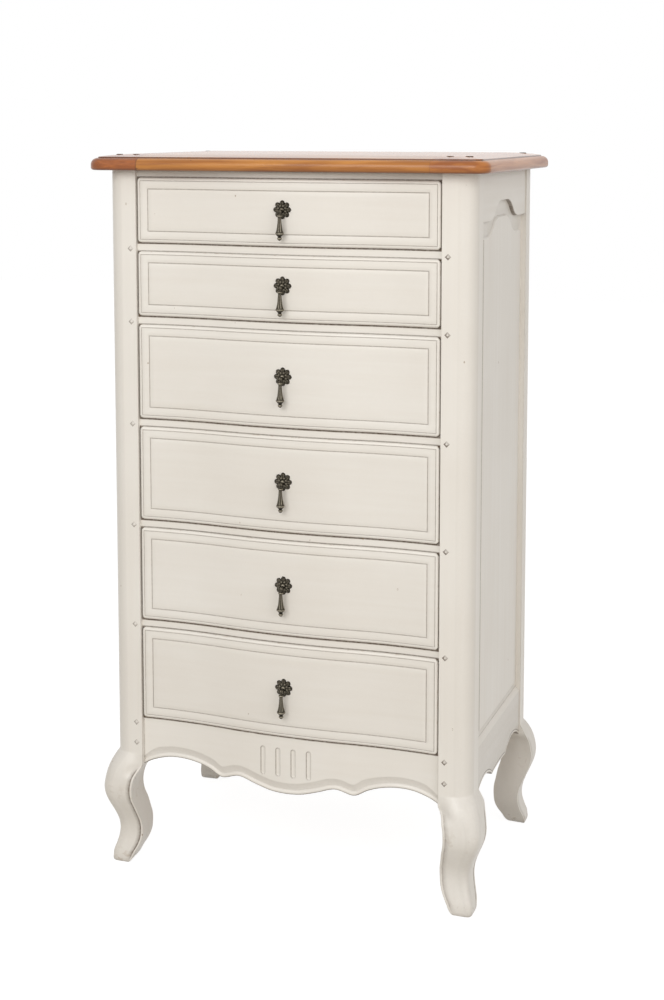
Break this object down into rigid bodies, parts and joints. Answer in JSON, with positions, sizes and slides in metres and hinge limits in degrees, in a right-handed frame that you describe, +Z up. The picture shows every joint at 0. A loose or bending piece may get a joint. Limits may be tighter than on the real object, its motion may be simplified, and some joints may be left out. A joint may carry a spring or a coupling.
{
  "type": "chest of drawers",
  "caption": "Tall painted chest of drawers with a serpentine front, cabriole legs, panelled sides, a stained wooden top and bronze drop handles.",
  "frame": {"origin": "centre of the overall box at floor level", "axes": "+Z up, front towards -Y, the chest's left side as seen from the front at -X"},
  "size_m": [0.67, 0.4503, 1.2],
  "materials": {
    "ivory_paint": "satin paint with brown glaze in the grooves and rubbed edges",
    "stained_wood": "glossy varnished cherry stain",
    "bare_wood": "planed and oiled",
    "bronze": "dark antique patina",
    "steel": "plated"
  },
  "bodies": {
    "chest": {"top_board": "stained_wood", "top_left_end": "stained_wood", "top_right_end": "stained_wood", "top_pegs": "stained_wood", "post_front_left": "ivory_paint", "post_front_right": "ivory_paint", "post_rear_left": "ivory_paint", "post_rear_right": "ivory_paint", "post_pegs": "ivory_paint", "side_left_top_rail": "ivory_paint", "side_left_bottom_rail": "ivory_paint", "side_left_panel": "ivory_paint", "side_right_top_rail": "ivory_paint", "side_right_bottom_rail": "ivory_paint", "side_right_panel": "ivory_paint", "rear_top_rail": "bare_wood", "rear_bottom_rail": "bare_wood", "back_panel": "bare_wood", "front_top_rail": "ivory_paint", "drawer_rails": "ivory_paint", "front_apron": "ivory_paint", "drawer_runners": "bare_wood", "top_cleats": "bare_wood", "top_screws": "steel"},
    "drawer_1": {"drawer_1_front": "ivory_paint", "drawer_1_sides": "bare_wood", "drawer_1_back": "bare_wood", "drawer_1_bottom": "bare_wood", "drawer_1_rosette": "bronze"},
    "drawer_1_handle_drop": {"drawer_1_drop": "bronze"},
    "drawer_2": {"drawer_2_front": "ivory_paint", "drawer_2_sides": "bare_wood", "drawer_2_back": "bare_wood", "drawer_2_bottom": "bare_wood", "drawer_2_rosette": "bronze"},
    "drawer_2_handle_drop": {"drawer_2_drop": "bronze"},
    "drawer_3": {"drawer_3_front": "ivory_paint", "drawer_3_sides": "bare_wood", "drawer_3_back": "bare_wood", "drawer_3_bottom": "bare_wood", "drawer_3_rosette": "bronze"},
    "drawer_3_handle_drop": {"drawer_3_drop": "bronze"},
    "drawer_4": {"drawer_4_front": "ivory_paint", "drawer_4_sides": "bare_wood", "drawer_4_back": "bare_wood", "drawer_4_bottom": "bare_wood", "drawer_4_rosette": "bronze"},
    "drawer_4_handle_drop": {"drawer_4_drop": "bronze"},
    "drawer_5": {"drawer_5_front": "ivory_paint", "drawer_5_sides": "bare_wood", "drawer_5_back": "bare_wood", "drawer_5_bottom": "bare_wood", "drawer_5_rosette": "bronze"},
    "drawer_5_handle_drop": {"drawer_5_drop": "bronze"},
    "drawer_6": {"drawer_6_front": "ivory_paint", "drawer_6_sides": "bare_wood", "drawer_6_back": "bare_wood", "drawer_6_bottom": "bare_wood", "drawer_6_rosette": "bronze"},
    "drawer_6_handle_drop": {"drawer_6_drop": "bronze"}
  },
  "joints": [
    {"name": "drawer_1_slide", "type": "slide", "parent": "chest", "child": "drawer_1", "axis": [0, -1, 0], "range_m": [0, 0.3]},
    {"name": "drawer_1_drop_swing", "type": "hinge", "parent": "drawer_1", "child": "drawer_1_handle_drop", "pos_m": [0, -0.21855, 1.1115], "axis": [-1, 0, 0], "range_deg": [-8, 100]},
    {"name": "drawer_2_slide", "type": "slide", "parent": "chest", "child": "drawer_2", "axis": [0, -1, 0], "range_m": [0, 0.3]},
    {"name": "drawer_2_drop_swing", "type": "hinge", "parent": "drawer_2", "child": "drawer_2_handle_drop", "pos_m": [0, -0.21855, 0.9915], "axis": [-1, 0, 0], "range_deg": [-8, 100]},
    {"name": "drawer_3_slide", "type": "slide", "parent": "chest", "child": "drawer_3", "axis": [0, -1, 0], "range_m": [0, 0.3]},
    {"name": "drawer_3_drop_swing", "type": "hinge", "parent": "drawer_3", "child": "drawer_3_handle_drop", "pos_m": [0, -0.21855, 0.8467], "axis": [-1, 0, 0], "range_deg": [-8, 100]},
    {"name": "drawer_4_slide", "type": "slide", "parent": "chest", "child": "drawer_4", "axis": [0, -1, 0], "range_m": [0, 0.3]},
    {"name": "drawer_4_drop_swing", "type": "hinge", "parent": "drawer_4", "child": "drawer_4_handle_drop", "pos_m": [0, -0.21855, 0.6771], "axis": [-1, 0, 0], "range_deg": [-8, 100]},
    {"name": "drawer_5_slide", "type": "slide", "parent": "chest", "child": "drawer_5", "axis": [0, -1, 0], "range_m": [0, 0.3]},
    {"name": "drawer_5_drop_swing", "type": "hinge", "parent": "drawer_5", "child": "drawer_5_handle_drop", "pos_m": [0, -0.21855, 0.5075], "axis": [-1, 0, 0], "range_deg": [-8, 100]},
    {"name": "drawer_6_slide", "type": "slide", "parent": "chest", "child": "drawer_6", "axis": [0, -1, 0], "range_m": [0, 0.3]},
    {"name": "drawer_6_drop_swing", "type": "hinge", "parent": "drawer_6", "child": "drawer_6_handle_drop", "pos_m": [0, -0.21855, 0.3379], "axis": [-1, 0, 0], "range_deg": [-8, 100]}
  ]
}
